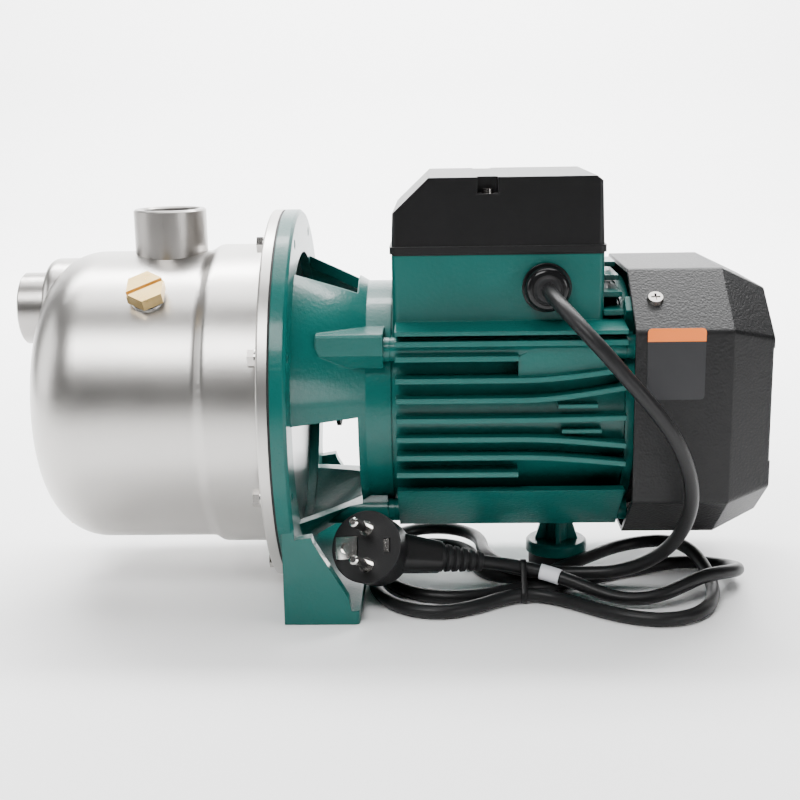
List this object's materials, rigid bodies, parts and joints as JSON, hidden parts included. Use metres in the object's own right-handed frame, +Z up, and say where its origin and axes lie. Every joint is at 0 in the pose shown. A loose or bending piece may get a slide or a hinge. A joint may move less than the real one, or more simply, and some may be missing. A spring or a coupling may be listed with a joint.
{
  "type": "shallow_well_jet_pump",
  "caption": "Shallow well jet pump: stainless casing with suction and discharge ports, teal cast bracket with foot, finned motor, black terminal box and fan cover, mains lead with plug",
  "frame": {"origin": "Centre of the foot's two bolt holes, on the base plane that the foot stands on.", "axes": "+X runs along the shaft from the suction end towards the fan, +Y is away from the side with the cable gland and fill plug, +Z is up."},
  "size_m": [0.3928, 0.2121, 0.2214],
  "materials": {
    "casing_steel": "satin",
    "bolt_steel": "gloss",
    "inner_steel": "satin",
    "brass": "satin",
    "green_paint": "gloss",
    "black_plastic": "matte",
    "gloss_black": "gloss",
    "technical_plastic": "satin",
    "rubber": "matte",
    "copper_winding": "satin",
    "white_label": "satin"
  },
  "bodies": {
    "pump": {"pump_casing": "casing_steel", "suction_socket": "casing_steel", "discharge_socket": "casing_steel", "fill_boss": "casing_steel", "drain_boss": "casing_steel", "casing_bolts": "bolt_steel", "casing_washers": "bolt_steel", "tie_rods": "bolt_steel", "tie_rod_nuts": "bolt_steel", "fan_cover_screws": "bolt_steel", "terminal_cover_screws": "bolt_steel", "plug_pins": "bolt_steel", "plug_earth_contacts": "bolt_steel", "seal_plate": "inner_steel", "front_bearing": "inner_steel", "rear_bearing": "inner_steel", "stator_core": "inner_steel", "capacitor_clamp": "inner_steel", "jet_nozzle": "brass", "motor_bracket": "green_paint", "motor_frame": "green_paint", "support_leg": "green_paint", "fan_cover": "black_plastic", "terminal_cover": "black_plastic", "plug_body": "black_plastic", "cord_tie": "black_plastic", "gland_body": "gloss_black", "gland_nut": "gloss_black", "gland_locknut": "gloss_black", "capacitor": "gloss_black", "ejector_body": "technical_plastic", "venturi_tube": "technical_plastic", "diffuser": "technical_plastic", "terminal_block": "technical_plastic", "casing_gasket": "rubber", "seal_seat": "rubber", "box_gasket": "rubber", "support_pad": "rubber", "gland_seal": "rubber", "cord_lead": "rubber", "cord_hank": "rubber", "cord_tail": "rubber", "plug_strain_relief": "rubber", "stator_winding": "copper_winding", "rear_end_shield": "green_paint", "warning_label": "white_label", "cord_tag": "white_label"},
    "rotor": {"rotor_shaft": "inner_steel", "rotor_core": "inner_steel", "impeller": "technical_plastic", "impeller_nut": "bolt_steel", "seal_ring": "rubber", "seal_spring": "inner_steel", "slinger_ring": "rubber", "cooling_fan": "technical_plastic", "fan_clip": "bolt_steel"},
    "fill_plug_body": {"fill_plug": "brass", "fill_plug_seal": "rubber"},
    "drain_plug_body": {"drain_plug": "brass", "drain_plug_seal": "rubber"}
  },
  "joints": [
    {"name": "shaft_spin", "type": "hinge", "parent": "pump", "child": "rotor", "pos_m": [0, 0, 0.103], "axis": [1, 0, 0], "continuous": true},
    {"name": "fill_plug_out", "type": "slide", "parent": "pump", "child": "fill_plug_body", "axis": [0, -0.6428, 0.766], "range_m": [0, 0.02]},
    {"name": "drain_plug_out", "type": "slide", "parent": "pump", "child": "drain_plug_body", "axis": [-1, 0, 0], "range_m": [0, 0.02]}
  ]
}
